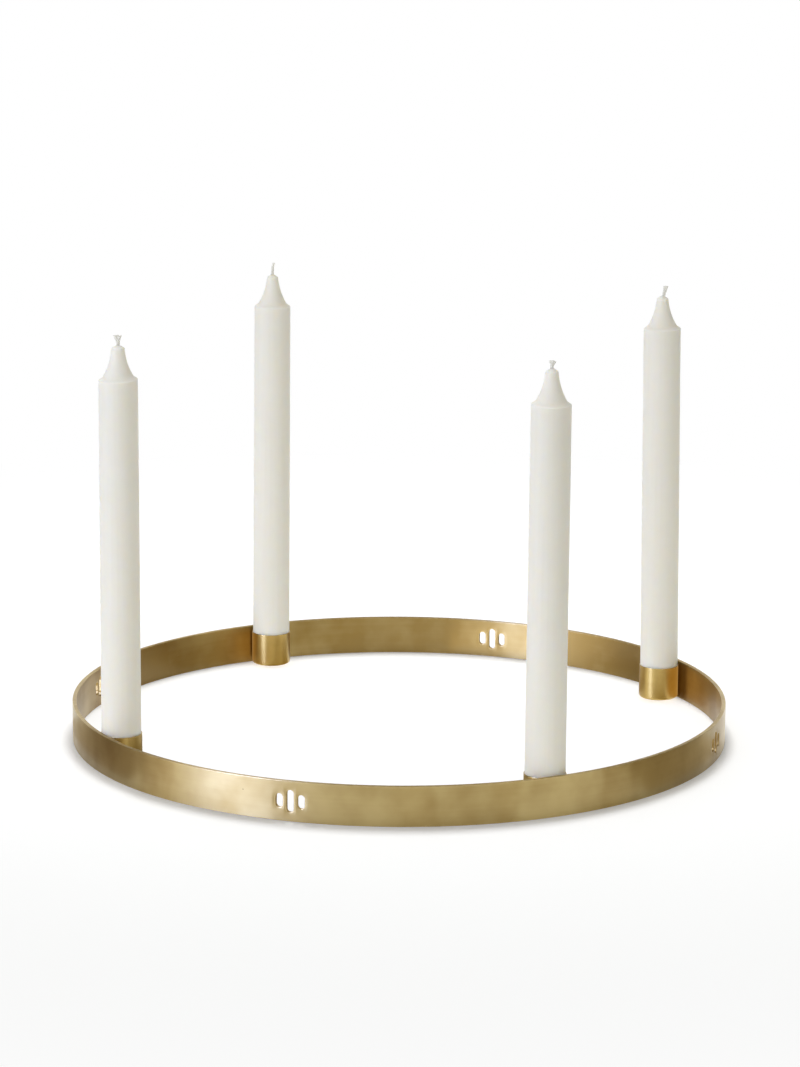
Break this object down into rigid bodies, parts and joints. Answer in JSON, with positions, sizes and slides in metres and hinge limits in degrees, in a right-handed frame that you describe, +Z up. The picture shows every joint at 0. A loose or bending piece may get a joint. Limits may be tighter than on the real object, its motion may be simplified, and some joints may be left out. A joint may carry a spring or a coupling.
{
  "type": "advent candle holder",
  "caption": "Flat brass hoop standing on edge, slotted between its soldered candle cups, holding removable white crown-topped dinner candles round an open middle.",
  "frame": {"origin": "middle of the hoop, on the surface that it stands on", "axes": "+Z up along the candles; -Y is the front, with a group of slots on each of +X, +Y, -X and -Y and the cups half way between"},
  "size_m": [0.375, 0.375, 0.2496],
  "materials": {
    "brass_band": "satin",
    "brass_cup": "satin",
    "solder": "matte",
    "wax": "satin",
    "cotton": "matte"
  },
  "bodies": {
    "holder": {"ring_band": "brass_band", "candle_cup_1": "brass_cup", "candle_cup_2": "brass_cup", "candle_cup_3": "brass_cup", "candle_cup_4": "brass_cup", "cup_solder_1": "solder", "cup_solder_2": "solder", "cup_solder_3": "solder", "cup_solder_4": "solder"},
    "candle_1_body": {"candle_1": "wax", "wick_1": "cotton"},
    "candle_2_body": {"candle_2": "wax", "wick_2": "cotton"},
    "candle_3_body": {"candle_3": "wax", "wick_3": "cotton"},
    "candle_4_body": {"candle_4": "wax", "wick_4": "cotton"}
  },
  "joints": [
    {"name": "candle_1_lift", "type": "slide", "parent": "holder", "child": "candle_1_body", "axis": [-0.0093, -0.003, 1], "range_m": [0, 0.04]},
    {"name": "candle_2_lift", "type": "slide", "parent": "holder", "child": "candle_2_body", "axis": [0.0053, 0.0017, 1], "range_m": [0, 0.04]},
    {"name": "candle_3_lift", "type": "slide", "parent": "holder", "child": "candle_3_body", "axis": [0.0012, 0.0004, 1], "range_m": [0, 0.04]},
    {"name": "candle_4_lift", "type": "slide", "parent": "holder", "child": "candle_4_body", "axis": [0.0033, 0.0011, 1], "range_m": [0, 0.04]}
  ]
}
